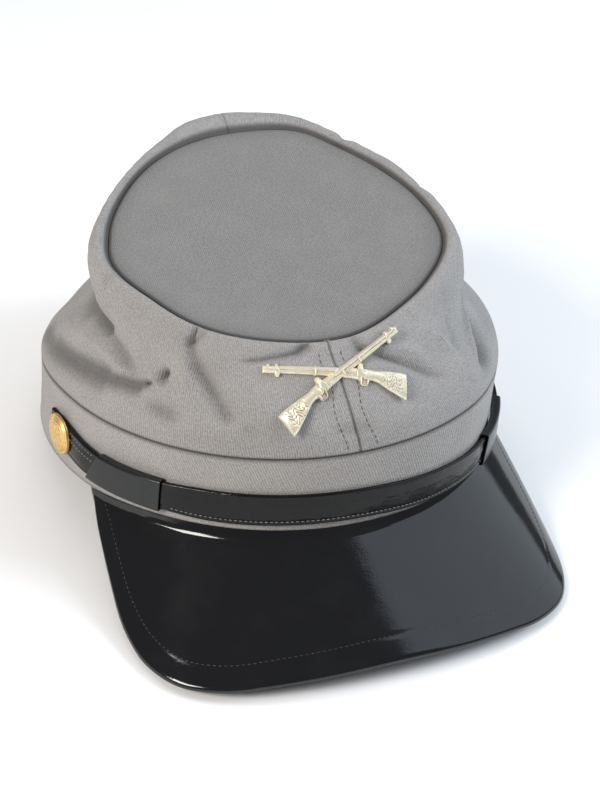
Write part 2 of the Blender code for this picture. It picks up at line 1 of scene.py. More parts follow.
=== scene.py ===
# Looks of the grey forage cap: cloth, patent leather, brass and stitches built round its CAD frame
# Places are worked out in the cap's own frame: band's lower edge at z = 0, front at -Y, wearer's left at +X
import json
import math

import bpy
import numpy as np
from mathutils import Matrix, Quaternion, Vector


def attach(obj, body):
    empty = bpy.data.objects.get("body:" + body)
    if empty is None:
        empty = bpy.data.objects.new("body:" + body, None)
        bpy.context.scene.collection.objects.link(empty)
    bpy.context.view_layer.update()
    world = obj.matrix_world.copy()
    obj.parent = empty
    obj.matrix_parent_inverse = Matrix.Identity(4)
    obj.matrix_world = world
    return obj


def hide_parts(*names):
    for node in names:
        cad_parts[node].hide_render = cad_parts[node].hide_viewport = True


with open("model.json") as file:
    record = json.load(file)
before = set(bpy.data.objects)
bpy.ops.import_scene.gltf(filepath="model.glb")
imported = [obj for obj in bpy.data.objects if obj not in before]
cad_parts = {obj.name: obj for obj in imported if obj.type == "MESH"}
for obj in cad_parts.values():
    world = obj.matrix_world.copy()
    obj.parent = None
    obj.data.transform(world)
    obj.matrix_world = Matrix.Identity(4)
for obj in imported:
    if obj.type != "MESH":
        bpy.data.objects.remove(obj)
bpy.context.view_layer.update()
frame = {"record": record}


# helpers for lines, steps and directions


def deselectAll():
    for item in bpy.context.selected_objects:
        item.select_set(False)


def curve(places, values, at):
    # smooth line through the values, held at both ends
    places, values = np.array(places, float), np.array(values, float)
    at = np.clip(at, places[0], places[-1])
    slopes = np.empty(len(places))
    slopes[1:-1] = (values[2:] - values[:-2]) / (places[2:] - places[:-2])
    slopes[0] = (values[1] - values[0]) / (places[1] - places[0])
    slopes[-1] = (values[-1] - values[-2]) / (places[-1] - places[-2])
    i = np.clip(np.searchsorted(places, at, "right") - 1, 0, len(places) - 2)
    span = places[i + 1] - places[i]
    t = (at - places[i]) / span
    start = (2 * t**3 - 3 * t**2 + 1) * values[i] + (t**3 - 2 * t**2 + t) * span * slopes[i]
    return start + (3 * t**2 - 2 * t**3) * values[i + 1] + (t**3 - t**2) * span * slopes[i + 1]


def tableLine(table, index, at):
    # the line through one column of a table whose first column holds the places
    return curve([row[0] for row in table], [row[index] for row in table], at)


def ring(table, index, deg):
    # the same line closed all round
    rows = [(row[0] + turn, row[index]) for turn in (-360, 0, 360) for row in table]
    return curve([r[0] for r in rows], [r[1] for r in rows], (np.asarray(deg, float) + 180) % 360 - 180)


def smoothStep(value):
    value = np.clip(value, 0, 1)
    return value * value * (3 - 2 * value)


def bell(value, middle, width):
    # 1 in the middle, fading to nothing about two widths away
    return np.exp(-(((value - middle) / width) ** 2))


def unit(vectors):
    return vectors / np.linalg.norm(vectors, axis=-1, keepdims=True)


def stack(*parts):
    return np.stack(np.broadcast_arrays(*parts), axis=-1)


def wobble(across, along, seed, size):
    # soft unevenness without a repeat that shows, about -1 to 1
    total = 0
    for k in range(5):
        turn = seed * 1.7 + k * 2.4
        pitch = size * (0.7 + 0.33 * k)
        line = (across * math.cos(turn) + along * math.sin(turn)) / pitch
        total = total + np.sin(line * 6.283 + seed + k * 1.9)
    return total / 5


# the cap's main forms, in metres and degrees from the middle of the front

cap = {
    "halfWidth": 0.092, "halfLength": 0.1013, "bandHeight": 0.0362, "bandWall": 0.0025,
    "flareX": 0.0025, "flareY": 0.001, "shiftX": 0.0044, "shiftY": -0.0009, "slopeX": 0.03, "slopeY": 0.026,
    "topRadius": 0.063, "topCentre": (-0.002, -0.021), "topRise": 0.0515, "topSlope": 0.32,
    "sideSwell": 0.010, "rollOut": 0.0065, "rollRise": 0.0012, "foldDepth": 0.006, "gap": 0.0003,
    "meanRadius": 0.0966,
}

seamShape = [  # deg, share
    (-150, 0.890), (-130, 0.895), (-120, 0.910), (-110, 0.955), (-95, 1.005), (-75, 1.000), (30, 1.000),
    (45, 0.980), (65, 0.942), (85, 0.928), (120, 0.920), (150, 0.895), (180, 0.885),
]

topShape = [  # deg, radius
    (-165, 0.965), (-140, 0.950), (-120, 0.960), (-100, 1.010), (-85, 1.050), (-65, 1.000), (-45, 1.000),
    (-20, 0.980), (5, 0.985), (30, 0.950), (50, 0.975), (74, 1.040), (95, 1.005), (115, 0.970),
    (135, 0.975), (152, 1.030), (172, 0.990),
]

sideShape = [  # deg, low, middle, high, roll
    (-150, 0.00, -0.20, -0.20, 1.05), (-130, -0.45, -0.80, -0.80, 0.80), (-113, -0.40, -0.95, -1.00, 0.95),
    (-95, 0.30, -0.45, -0.65, 1.15), (-75, 0.35, 0.10, -0.10, 0.95), (-55, 0.35, 0.35, 0.10, 0.75),
    (-30, 0.40, 0.50, 0.30, 0.70), (0, 0.40, 0.50, 0.40, 0.70), (30, 0.40, 0.45, 0.40, 0.80),
    (48, 0.15, 0.00, 0.10, 0.85), (66, -0.30, -0.40, -0.05, 0.95), (90, -0.40, -0.50, -0.25, 0.95),
    (120, 0.10, 0.00, 0.00, 1.10), (150, 0.20, 0.20, 0.20, 1.40), (180, 0.30, 0.40, 0.30, 2.20),
]

sideLine = [  # climb, out, rise, upright
    (0.00, 0.00, 0.0, 1.0), (0.025, 0.00, 0.0, 1.0), (0.08, 0.00, 0.0, 0.45), (0.18, 0.00, 0.0, 0.1),
    (0.29, 0.02, 0.0, 0.0), (0.38, 0.05, 0.0, 0.0), (0.47, 0.10, 0.0, 0.0), (0.56, 0.19, 0.0, 0.0),
    (0.65, 0.34, 0.0, 0.0), (0.74, 0.56, 0.0, 0.0), (0.83, 0.80, 0.0, 0.0), (0.91, 0.98, 0.0, 0.0),
    (0.97, 0.95, 0.4, 0.0), (1.00, 0.68, 1.0, 0.0), (1.00, 0.32, 0.8, 0.0), (1.00, 0.00, -0.6, 0.0),
]

# from deg, climb, to deg, climb, width as a share of the band's height, depth; ridges are negative
folds = [
    (-128, 0.72, -106, 0.67, 0.15, 1.10), (-106, 0.67, -88, 0.64, 0.14, 1.15),
    (-88, 0.64, -74, 0.63, 0.09, 1.00),
    (-74, 0.63, -57, 0.46, 0.08, 0.50), (-112, 0.52, -84, 0.56, 0.11, 0.45),
    (-97, 0.36, -73, 0.50, 0.16, -0.36), (-73, 0.50, -60, 0.44, 0.09, -0.34),
    (-104, 0.12, -90, 0.20, 0.12, 0.75), (-90, 0.20, -68, 0.31, 0.14, 0.95),
    (-68, 0.31, -57, 0.37, 0.09, 0.80), (-57, 0.37, -53, 0.46, 0.06, 0.35),
    (-70, 0.96, -47, 0.78, 0.09, -0.18), (-50, 0.64, -50, 0.45, 0.07, 0.40),
    (-53, 0.29, -42, 0.24, 0.11, 0.45), (-48, 0.80, -41, 0.50, 0.08, -0.28),
    (-42, 1.00, -45, 0.92, 0.045, 0.40), (-45, 0.92, -42, 0.74, 0.09, 0.40),
    (-42, 0.74, -35, 0.49, 0.10, 0.48), (-35, 0.49, -30, 0.26, 0.11, 0.42),
    (-24, 0.80, -30, 0.55, 0.08, -0.12), (6, 0.97, 16, 0.67, 0.075, 0.32), (16, 0.67, 26, 0.29, 0.10, 0.30),
    (14, 0.95, 25, 0.55, 0.09, -0.18), (32, 0.76, 33, 0.47, 0.06, -0.30), (33, 0.47, 30, 0.20, 0.07, -0.25),
    (48, 0.94, 41, 0.72, 0.10, 0.10), (41, 0.72, 35, 0.42, 0.09, 0.20), (60, 0.78, 54, 0.56, 0.065, -0.25),
    (54, 0.56, 37, 0.20, 0.055, -0.40), (70, 0.64, 57, 0.42, 0.14, 0.40), (57, 0.42, 38, 0.13, 0.12, 0.80),
    (-9, 0.20, 5, 0.16, 0.10, 0.25), (-22, 0.16, -15, 0.16, 0.10, 0.20),
]

fineFolds = [  # the same columns, for the small creases and puckers
    (-9, 1.00, -17, 0.94, 0.035, 0.40), (-17, 0.94, -31, 0.85, 0.045, 0.32),
    (9, 0.90, 25, 0.33, 0.03, 0.18), (-57, 0.38, -52, 0.47, 0.03, 0.40),
    (-50, 0.62, -51, 0.47, 0.035, 0.35), (-80, 1.00, -78, 0.90, 0.05, 0.22),
    (-45, 1.00, -46, 0.86, 0.045, 0.35), (-11, 1.00, -15, 0.92, 0.05, 0.20),
    (6, 1.00, 9, 0.90, 0.05, 0.22), (30, 1.00, 31, 0.90, 0.05, 0.15), (-62, 1.00, -62, 0.90, 0.04, 0.12),
    (-28, 0.30, -24, 0.14, 0.06, 0.14), (30, 0.28, 34, 0.10, 0.06, 0.14), (74, 0.85, 70, 0.60, 0.07, 0.15),
    (100, 0.95, 96, 0.60, 0.08, 0.30), (135, 0.96, 128, 0.55, 0.10, 0.40),
    (165, 0.90, 172, 0.50, 0.09, 0.35), (-160, 0.92, -150, 0.55, 0.09, 0.35),
    (-132, 0.90, -126, 0.50, 0.09, 0.30),
    (116, 0.30, 128, 0.14, 0.08, 0.20), (-172, 0.25, -158, 0.16, 0.08, 0.20),
]


def oval(deg, halfWidth, halfLength):
    angle = np.radians(deg)
    return stack(halfWidth * np.sin(angle), -halfLength * np.cos(angle), 0 * angle)


def outward(deg):
    angle = np.radians(deg)
    return unit(stack(np.sin(angle) / cap["halfWidth"], -np.cos(angle) / cap["halfLength"], 0 * angle))


def seamPoint(deg):
    point = oval(deg, cap["halfWidth"] + cap["flareX"], cap["halfLength"] + cap["flareY"])
    shift = np.array((cap["shiftX"], cap["shiftY"], cap["bandHeight"]))
    point = point * ring(seamShape, 1, deg)[..., None] + shift
    point[..., 2] += cap["slopeX"] * point[..., 0] + cap["slopeY"] * point[..., 1]
    return point


def bandPoint(deg, height, out):
    deg, height, out = np.broadcast_arrays(np.asarray(deg, float), height, out)
    top = seamPoint(deg)
    bottom = oval(deg, cap["halfWidth"], cap["halfLength"])
    return bottom + (top - bottom) * (height / top[..., 2])[..., None] + outward(deg) * out[..., None]


topMiddle = np.array((*cap["topCentre"], cap["bandHeight"] + cap["topRise"]))
topBack = unit(np.array((0, 1, cap["topSlope"])))
topNormal = np.cross((1.0, 0, 0), topBack)


def topEdge(deg, inset=0.0):
    angle = np.radians(np.asarray(deg, float))[..., None]
    direction = np.array((1.0, 0, 0)) * np.sin(angle) - topBack * np.cos(angle)
    radius = cap["topRadius"] * ring(topShape, 1, deg)
    return topMiddle + direction * (radius - inset)[..., None], direction


def foldDepth(deg, climb, table):
    # rows that start where the last one ended are one fold; a fold fades out except at the top piece
    reach = 0.5 * (cap["halfWidth"] + cap["halfLength"])
    total, fold, last = 0, 0, None
    for n, (fromDeg, fromClimb, toDeg, toClimb, width, depth) in enumerate(table):
        first = (fromDeg, fromClimb) != last
        last = (toDeg, toClimb)
        final = n + 1 == len(table) or table[n + 1][:2] != last
        start = np.array((math.radians(fromDeg) * reach, fromClimb * cap["topRise"]))
        along = np.array((math.radians(toDeg) * reach, toClimb * cap["topRise"])) - start
        place = stack(np.radians(deg) * reach, climb * cap["topRise"]) - start
        share = np.clip(place @ along / (along @ along), 0, 1)
        off = np.linalg.norm(place - share[..., None] * along, axis=-1) / (width * cap["bandHeight"])
        piece = cap["foldDepth"] * depth * np.exp(-((1.08 * off) ** 1.45))
        if first and fromClimb < 0.93:
            piece = piece * smoothStep(share / 0.5 + 0.2)
        if final and toClimb < 0.93:
            piece = piece * smoothStep((1 - share) / 0.5 + 0.2)
        if first:
            total, fold = total + fold, piece
        else:
            fold = np.where(np.abs(piece) > np.abs(fold), piece, fold)
    return total + fold


swellHeights = (0.0, 0.2, 0.45, 0.7, 1.0)  # climbs at which sideShape's swells are given, with both ends


def sidePoint(deg, row, fine=True):
    # outer face of the crown's side cloth; row runs along sideLine
    deg, row = np.broadcast_arrays(np.asarray(deg, float), row)
    rows = range(len(sideLine))
    climb, out, rise, upright = [curve(rows, [r[k] for r in sideLine], row) for k in range(4)]
    start = seamPoint(deg) + np.array((0, 0, cap["gap"]))
    end, direction = topEdge(deg, -cap["gap"])
    chord = end - start
    square = outward(deg)
    lean = np.sum(square * chord, -1) / np.sum(chord * chord, -1)
    square = unit(square - chord * lean[..., None])
    low, middle, high, roll = [ring(sideShape, k, deg) for k in (1, 2, 3, 4)]
    swell = 0
    for k, value in ((1, low), (2, middle), (3, high)):  # each height's share of the same smooth line
        swell = swell + value * curve(swellHeights, np.eye(5)[k], climb)
    swell = cap["sideSwell"] * swell
    edge = smoothStep((climb - 0.05) / 0.2) * smoothStep((1 - climb) / 0.08)
    swell = swell - foldDepth(deg, climb, folds) * edge
    if fine:
        # the creases and two sizes of unevenness die away at the band's seam and at the roll
        eased = smoothStep((climb - 0.1) / 0.1) * (1 - 0.75 * smoothStep((row - 12.5) / 1.5))
        swell = swell - foldDepth(deg, climb, fineFolds) * eased
        metres = np.radians(deg) * cap["meanRadius"]
        swell = swell + 0.0004 * wobble(metres, climb * 0.05, 3, 0.021) * eased
        swell = swell + 0.00018 * wobble(metres, climb * 0.05, 8, 0.008) * eased
    roll = direction * (cap["rollOut"] * out * roll)[..., None]
    leaning = start + chord * climb[..., None] + square * swell[..., None] + roll
    leaning = leaning + topNormal * (cap["rollRise"] * rise)[..., None]
    standing = start + np.array((0, 0, 1.0)) * (np.linalg.norm(chord, axis=-1) * climb)[..., None]
    return leaning + (standing - leaning) * upright[..., None]


# where the cap stands: its frame's tilt and place, from the rim mount

rim = frame["record"]["mounts"][0]
tilt = math.atan2(-rim["axis"][1], -rim["axis"][2])
capPlace = Matrix.Rotation(-tilt, 4, "X")
rimPoint = Vector((0, cap["halfLength"] - cap["bandWall"] / 2, 0))
capPlace.translation = Vector(rim["pos_m"]) - capPlace.to_3x3() @ rimPoint


# building pieces


def gridPiece(name, points, uvs, shade=None):
    # a grid primitive whose corners go to their places; joined edges are merged
    # shade is painted shade: how dark the cloth is painted in its creases and along its seams, 0 to 1
    rows, columns = points.shape[:2]
    deselectAll()
    bpy.ops.mesh.primitive_grid_add(x_subdivisions=columns - 1, y_subdivisions=rows - 1, size=2)
    piece = bpy.context.object
    piece.name = name
    mesh = piece.data
    flat = np.empty(len(mesh.vertices) * 3, np.float32)
    mesh.vertices.foreach_get("co", flat)
    flat = flat.reshape(-1, 3)
    i = np.rint((flat[:, 0] + 1) / 2 * (columns - 1)).astype(int)
    k = np.rint((flat[:, 1] + 1) / 2 * (rows - 1)).astype(int)
    mesh.vertices.foreach_set("co", points[k, i].astype(np.float32).ravel())
    corners = np.empty(len(mesh.loops), np.int32)
    mesh.loops.foreach_get("vertex_index", corners)
    mesh.uv_layers[0].data.foreach_set("uv", uvs[k, i][corners].astype(np.float32).ravel())
    # the painted shade is kept on the points as an attribute, for the cloth's colour to read
    if shade is not None:
        shade = np.broadcast_to(np.clip(shade, 0, 1), points.shape[:2])[k, i]
        mesh.attributes.new("shade", "FLOAT", "POINT").data.foreach_set("value", shade.astype(np.float32))
    mesh.update()
    bpy.ops.object.mode_set(mode="EDIT")
    bpy.ops.mesh.select_all(action="SELECT")
    bpy.ops.mesh.remove_doubles(threshold=0.000002)
    bpy.ops.object.mode_set(mode="OBJECT")
    return piece


def editAll(piece, *steps):
    deselectAll()
    piece.select_set(True)
    bpy.context.view_layer.objects.active = piece
    bpy.ops.object.mode_set(mode="EDIT")
    bpy.ops.mesh.select_all(action="SELECT")
    for step, options in steps:
        step(**options)
    bpy.ops.object.mode_set(mode="OBJECT")


def modify(piece, kind, **settings):
    deselectAll()
    piece.select_set(True)
    bpy.context.view_layer.objects.active = piece
    modifier = piece.modifiers.new(kind.lower(), kind)
    for key, value in settings.items():
        setattr(modifier, key, value)
    bpy.ops.object.modifier_apply(modifier=modifier.name)


def closeSolid(piece):
    editAll(piece, (bpy.ops.mesh.normals_make_consistent, {"inside": False}))


def closeEnds(piece):
    # fills the two open ends, each with one face
    fillEnds = (
        (bpy.ops.mesh.select_all, {"action": "DESELECT"}),
        (bpy.ops.mesh.select_non_manifold, {}),
        (bpy.ops.mesh.edge_face_add, {}),
    )
    editAll(piece, *fillEnds)
    closeSolid(piece)


def finishPiece(piece, looks, replaced, sharp):
    piece.data.transform(capPlace)
    piece.data.materials.clear()
    piece.data.materials.append(looks)
    deselectAll()
    piece.select_set(True)
    bpy.context.view_layer.objects.active = piece
    bpy.ops.object.shade_smooth_by_angle(angle=math.radians(sharp))
    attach(piece, "root")
    for node in replaced:
        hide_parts(node)
    triangles = sum(len(face.vertices) - 2 for face in piece.data.polygons)
    print(piece.name, triangles, "triangles", flush=True)
    return piece


def roundSection(halfWide, halfThick, radius, count):
    # a rectangle with rounded corners, once round from its lower right corner, as (along, across)
    points = []
    per = count // 4
    for corner, (sx, sy) in enumerate(((1, -1), (1, 1), (-1, 1), (-1, -1))):
        for step in range(per):
            angle = math.radians(90 * step / (per - 1) - 90 + 90 * corner)
            x = sx * (halfWide - radius) + radius * math.cos(angle)
            y = sy * (halfThick - radius) + radius * math.sin(angle)
            points.append((x, y))
    return points


# materials: cloth, patent leather, metal and thread


class Flow:  # a node's output that takes Python's operators
    def __init__(self, paint, socket):
        self.paint, self.socket = paint, socket

    def math(self, operation, other=0.0, swapped=False):
        pair = (other, self) if swapped else (self, other)
        return self.paint.add("ShaderNodeMath", {"operation": operation}, {0: pair[0], 1: pair[1]})

    def __add__(self, other):
        return self.math("ADD", other)

    def __sub__(self, other):
        return self.math("SUBTRACT", other)

    def __rsub__(self, other):
        return self.math("SUBTRACT", other, True)

    def __mul__(self, other):
        return self.math("MULTIPLY", other)

    __radd__, __rmul__ = __add__, __mul__


class Paint:  # one material and its nodes
    def __init__(self, name, **constants):
        self.material = bpy.data.materials.new(name)
        self.material.use_nodes = True
        self.tree = self.material.node_tree
        self.shader = self.tree.nodes["Principled BSDF"]
        for key, value in constants.items():
            self.shader.inputs[key.replace("_", " ")].default_value = value

    def add(self, kind, settings, values, output=0):
        node = self.tree.nodes.new(kind)
        for key, value in settings.items():
            setattr(node, key, value)
        for key, value in values.items():
            self.feed(node.inputs[key], value)
        return Flow(self, node.outputs[output])

    def feed(self, socket, value):
        if isinstance(value, Flow):
            self.tree.links.new(value.socket, socket)
        elif isinstance(value, tuple) and len(value) == 3 and socket.type == "RGBA":
            socket.default_value = (*value, 1)
        else:
            socket.default_value = value

    def surface(self, **values):
        for key, value in values.items():
            self.feed(self.shader.inputs[key.replace("_", " ")], value)
        return self.material

    def place(self, kind="UV"):
        return self.add("ShaderNodeTexCoord", {}, {}, kind)

    def axes(self, vector):
        node = self.tree.nodes.new("ShaderNodeSeparateXYZ")
        self.feed(node.inputs[0], vector)
        return [Flow(self, node.outputs[k]) for k in range(3)]

    def noise(self, vector, scale, detail=2.0, roughness=0.5):
        values = {"Vector": vector, "Scale": scale, "Detail": detail, "Roughness": roughness}
        return self.add("ShaderNodeTexNoise", {}, values)

    def ramp(self, factor, low, high):
        values = {"Value": factor, "From Min": low, "From Max": high}
        return self.add("ShaderNodeMapRange", {"interpolation_type": "SMOOTHSTEP"}, values)

    def mix(self, factor, first, second):
        return self.add("ShaderNodeMix", {"data_type": "RGBA"}, {0: factor, 6: first, 7: second}, 2)

    def bump(self, height, distance, strength=1.0):
        values = {"Height": height, "Distance": distance, "Strength": strength}
        return self.add("ShaderNodeBump", {}, values)


def twill(name, colour, shade, weave):
    # ribbed cotton on a UV map in metres: ribs, yarn along them, flecks, and painted shade in its creases and
    # along its seams
    paint = Paint(name, Sheen_Weight=weave["sheen"], Sheen_Roughness=0.45)
    place = paint.place()
    u, v, _ = paint.axes(place)
    turn = math.radians(weave["turn"])
    drift = paint.noise(place, 260.0) * 0.9
    across = (u * math.cos(turn) + v * math.sin(turn)) * (1 / weave["pitch"]) + drift
    along = (v * math.cos(turn) - u * math.sin(turn)) * (1 / (weave["pitch"] * 2.1)) + drift
    rib = (across * math.tau).math("SINE") * 0.5 + 0.5
    yarn = ((along + across * 0.5) * math.tau).math("SINE") * 0.5 + 0.5
    cloth = rib * 0.7 + yarn * rib * 0.3
    flecks = paint.noise(place, 1100.0, 2.0)
    blotch = paint.ramp(paint.noise(place, 60.0, 4.0, 0.6), 0.3, 0.72)
    base = paint.mix(cloth * 0.5 + paint.ramp(flecks, 0.3, 0.7) * 0.38 + blotch * 0.12, shade, colour)
    # painted shade: the cloth goes towards the weave's deep colour wherever the piece's shade attribute says
    crease = paint.add("ShaderNodeAttribute", {"attribute_name": "shade"}, {}, "Fac")
    base = paint.mix(crease, base, weave["deep"])
    rough = 0.88 + blotch * 0.06
    normal = paint.bump(cloth + flecks * 0.6, weave["relief"], 0.9)
    return paint.surface(Base_Color=base, Roughness=rough, Normal=normal)


def patent(name, colour, dust, settings):
    # glossy leather: dull smears and dust in its colour, a fine grain and long soft unevenness in its surface
    paint = Paint(name, IOR=settings["ior"])
    place = paint.place("Object")
    smear = paint.ramp(paint.noise(place, 45.0, 4.0, 0.6), 0.4, 0.75)
    fine = paint.ramp(paint.noise(place, 900.0, 2.0), 0.55, 0.8)
    base = paint.mix(smear * 0.4 + fine * 0.2, colour, dust)
    rough = settings["roughness"] + smear * 0.03 + fine * 0.02
    height = paint.noise(place, settings["grain"], 3.0) + paint.noise(place, 70.0) * settings["sag"]
    normal = paint.bump(height, settings["relief"], 0.6)
    return paint.surface(Base_Color=base, Roughness=rough, Normal=normal)


def metal(name, colour, dull, settings):
    # duller in patches and in its hollows
    paint = Paint(name, Metallic=settings["metallic"])
    place = paint.place("Object")
    tarnish = paint.ramp(paint.noise(place, settings["patch"], 4.0, 0.65), 0.42, 0.72)
    fine = paint.noise(place, 1800.0, 2.0)
    hollow = 1 - paint.ramp(paint.add("ShaderNodeNewGeometry", {}, {}, "Pointiness"), 0.44, 0.53)
    base = paint.mix(tarnish * 0.25 + hollow * 0.75, colour, dull)
    rough = settings["roughness"] + tarnish * 0.18 + fine * 0.06
    normal = paint.bump(fine, settings["relief"], 0.5)
    return paint.surface(Base_Color=base, Roughness=rough, Normal=normal)


# deep is the colour that the cloth is painted with where its shade attribute puts painted shade
sideWeave = {"turn": 6, "pitch": 0.00092, "relief": 0.00015, "sheen": 0.08, "deep": (0.055, 0.052, 0.050)}
bandWeave = {**sideWeave, "turn": 28}
topWeave = {"turn": -3, "pitch": 0.00080, "relief": 0.00012, "sheen": 0.05, "deep": (0.050, 0.049, 0.048)}
sideCloth = twill("side cloth", (0.400, 0.384, 0.370), (0.180, 0.174, 0.170), sideWeave)
bandCloth = twill("band cloth", (0.430, 0.410, 0.390), (0.200, 0.192, 0.184), bandWeave)
topCloth = twill("top cloth", (0.250, 0.242, 0.234), (0.145, 0.141, 0.138), topWeave)
peakFinish = {"ior": 1.5, "roughness": 0.08, "grain": 1300.0, "sag": 5.0, "relief": 0.00003}
strapFinish = {"ior": 1.32, "roughness": 0.09, "grain": 900.0, "sag": 9.0, "relief": 0.00014}
keeperFinish = {"ior": 1.42, "roughness": 0.24, "grain": 1100.0, "sag": 2.0, "relief": 0.0001}
brassFinish = {"metallic": 0.9, "patch": 500.0, "roughness": 0.33, "relief": 0.00003}
goldFinish = {"metallic": 0.62, "patch": 240.0, "roughness": 0.36, "relief": 0.00006}
peakLeather = patent("peak patent", (0.006, 0.006, 0.007), (0.012, 0.012, 0.012), peakFinish)
strapLeather = patent("strap patent", (0.006, 0.006, 0.006), (0.014, 0.013, 0.013), strapFinish)
keeperLeather = patent("keeper patent", (0.010, 0.012, 0.011), (0.024, 0.027, 0.025), keeperFinish)
brass = metal("button brass", (0.90, 0.62, 0.26), (0.33, 0.19, 0.07), brassFinish)
gold = metal("badge gold", (1.0, 0.94, 0.74), (0.30, 0.19, 0.07), goldFinish)


def threadPaint(name, colour, roughness):
    paint = Paint(name)
    place = paint.place("Object")
    twist = paint.noise(place, 2600.0, 1.0)
    base = paint.mix(paint.ramp(twist, 0.35, 0.7) * 0.6, colour, tuple(0.5 * c for c in colour))
    normal = paint.bump(twist, 0.0001)
    return paint.surface(Base_Color=base, Roughness=roughness + twist * 0.1, Normal=normal)


greyThread = threadPaint("grey thread", (0.085, 0.082, 0.080), 0.7)
# painted highlight: the strap's thread is painted lighter than the black thread, so that its stitches show as
# glints
glintPaintedThread = threadPaint("glint painted thread", (0.20, 0.20, 0.205), 0.25)
blackThread = threadPaint("black thread", (0.045, 0.045, 0.046), 0.25)
print("materials ready", flush=True)


# stitches: one is modelled, the others are copies laid along a line


def stitches(name, points, outs, size, looks):
    # points runs through the holes, two by two; outs are the surface's directions there
    deselectAll()
    bpy.ops.mesh.primitive_uv_sphere_add(segments=8, ring_count=6, radius=0.5)
    first = bpy.context.object
    made = []
    for start, end, out in zip(points[:-1:2], points[1::2], outs[::2]):
        copy = first.copy()
        copy.data = first.data.copy()
        bpy.context.collection.objects.link(copy)
        along = Vector(end - start)
        length = along.length
        along.normalize()
        out = Vector(out)
        side = along.cross(out).normalized()
        out = side.cross(along)
        turn = Matrix((along * length, side * size, out * size)).transposed().to_4x4()
        turn.translation = Vector((start + end) / 2)
        copy.data.transform(turn)
        made.append(copy)
    bpy.data.objects.remove(first)
    deselectAll()
    for copy in made:
        copy.select_set(True)
    bpy.context.view_layer.objects.active = made[0]
    if len(made) > 1:
        bpy.ops.object.join()
    piece = bpy.context.object
    piece.name = name
    return finishPiece(piece, looks, [], 60)


def between(at, places, values):
    # rows of values, such as points or directions, worked out between the given places
    return np.stack([np.interp(at, places, values[:, k]) for k in range(3)], axis=1)


def evenly(line, pitch, filled):
    # needle holes along a line, two to a stitch, and how far along it they are; filled is the share of
    # each pitch that has thread on top
    lengths = np.concatenate(([0], np.cumsum(np.linalg.norm(np.diff(line, axis=0), axis=1))))
    count = int(lengths[-1] / pitch)
    at = np.concatenate([[k * pitch, (k + filled) * pitch] for k in range(count)])
    return between(at, lengths, line), at / lengths[-1]


# crown: its side and its top piece

crownSide = {
    "columns": 420, "rows": 110, "wall": 0.0015, "frontSeam": -2.5, "backSeam": 178, "seamWidth": 0.45,
    "seamDepth": 0.0005, "seamReach": 1.4, "seamColumns": 15, "creaseShade": 0.70, "bandShade": 0.95,
    "rimShade": 0.9, "frontShade": 0.85, "backShade": 0.5,
}
uprightSeams = (crownSide["frontSeam"], crownSide["backSeam"])
seamSpan = np.linspace(-crownSide["seamReach"], crownSide["seamReach"], crownSide["seamColumns"])
allRound = np.linspace(-180, 180, crownSide["columns"])
deg = np.unique(np.concatenate([allRound, *(middle + seamSpan for middle in uprightSeams)]))[None, :]
row = np.linspace(0, len(sideLine) - 1, crownSide["rows"])[:, None]
points = sidePoint(deg, row)
for middle in uprightSeams:  # they pull the cloth in a little
    dip = crownSide["seamDepth"] * bell(deg, middle, crownSide["seamWidth"])
    dip = dip * smoothStep(row / 2) * (row < 13.5)
    points -= outward(deg) * dip[..., None]
middleColumn = crownSide["columns"] // 2
up = np.concatenate(([0], np.cumsum(np.linalg.norm(np.diff(points[:, middleColumn], axis=0), axis=1))))
uvs = stack(np.radians(deg) * cap["meanRadius"], up[:, None])
climb = curve(range(len(sideLine)), [r[0] for r in sideLine], row)
# painted shade: darker in the folds' valleys, in a line along the band's seam, at the roll's inner edge next
# to the top piece, and along the front and back seams
valley = np.maximum(foldDepth(deg, climb, folds) + foldDepth(deg, climb, fineFolds), 0) / cap["foldDepth"]
shade = crownSide["creaseShade"] * (1 - np.exp(-((valley / 0.58) ** 1.5)))
shade = shade + crownSide["bandShade"] * bell(row, 0, 0.55)
shade = shade + crownSide["rimShade"] * smoothStep((row - 14.0) / 0.7)
shade = shade + crownSide["frontShade"] * bell(deg, crownSide["frontSeam"], 0.34)
shade = shade + crownSide["backShade"] * bell(deg, crownSide["backSeam"], 0.28)
piece = gridPiece("crownSide", points, uvs, shade)
modify(piece, "SOLIDIFY", thickness=crownSide["wall"], offset=-1, use_even_offset=False, use_rim=True)
finishPiece(piece, sideCloth, ["crown_side"], 60)

crownTop = {"columns": 300, "thickness": 0.002, "sag": 0.0012, "uneven": 0.00022, "rimShade": 0.8}
deg = np.linspace(-180, 180, crownTop["columns"])[None, :]
# share of the way out, share of the thickness: out along the lower face, round the edge and back on top
profile = [(share, 1.0) for share in np.linspace(0, 0.98, 8)]
profile += [(0.992, 0.9), (1.0, 0.7), (1.0, 0.5), (1.0, 0.3), (0.992, 0.1)]
profile += [(share, 0.0) for share in np.linspace(0.98, 0, 40)]
profile = np.array(profile)
share, depth = profile[:, :1], profile[:, 1:]
edge = topEdge(deg)[0]
flat = (edge - topMiddle) * share[..., None]
onTop = smoothStep((1 - share) / 0.2) * (depth < 0.5)
uneven = crownTop["uneven"] * wobble(flat[..., 0], flat[..., 1], 5, 0.03) * onTop
drop = crownTop["thickness"] * depth + crownTop["sag"] * (1 - share * share) - uneven
points = topMiddle + flat - topNormal * drop[..., None]
uvs = stack(flat[..., 0], flat @ topBack)
# painted shade: a dark line round the edge and a softer darkening towards it
shade = crownTop["rimShade"] * smoothStep((share - 0.975) / 0.015) + 0.18 * smoothStep((share - 0.86) / 0.12)
piece = gridPiece("crownTop", points, uvs, shade)
closeSolid(piece)
finishPiece(piece, topCloth, ["crown_top"], 50)


# band

band = {"columns": 360, "round": 0.0006, "uneven": 0.00012}
deg = np.linspace(-180, 180, band["columns"])[None, :]
wall, rounding, top = cap["bandWall"], band["round"], seamPoint(deg)[..., 2]
turns = np.radians((90, 60, 30, 0))
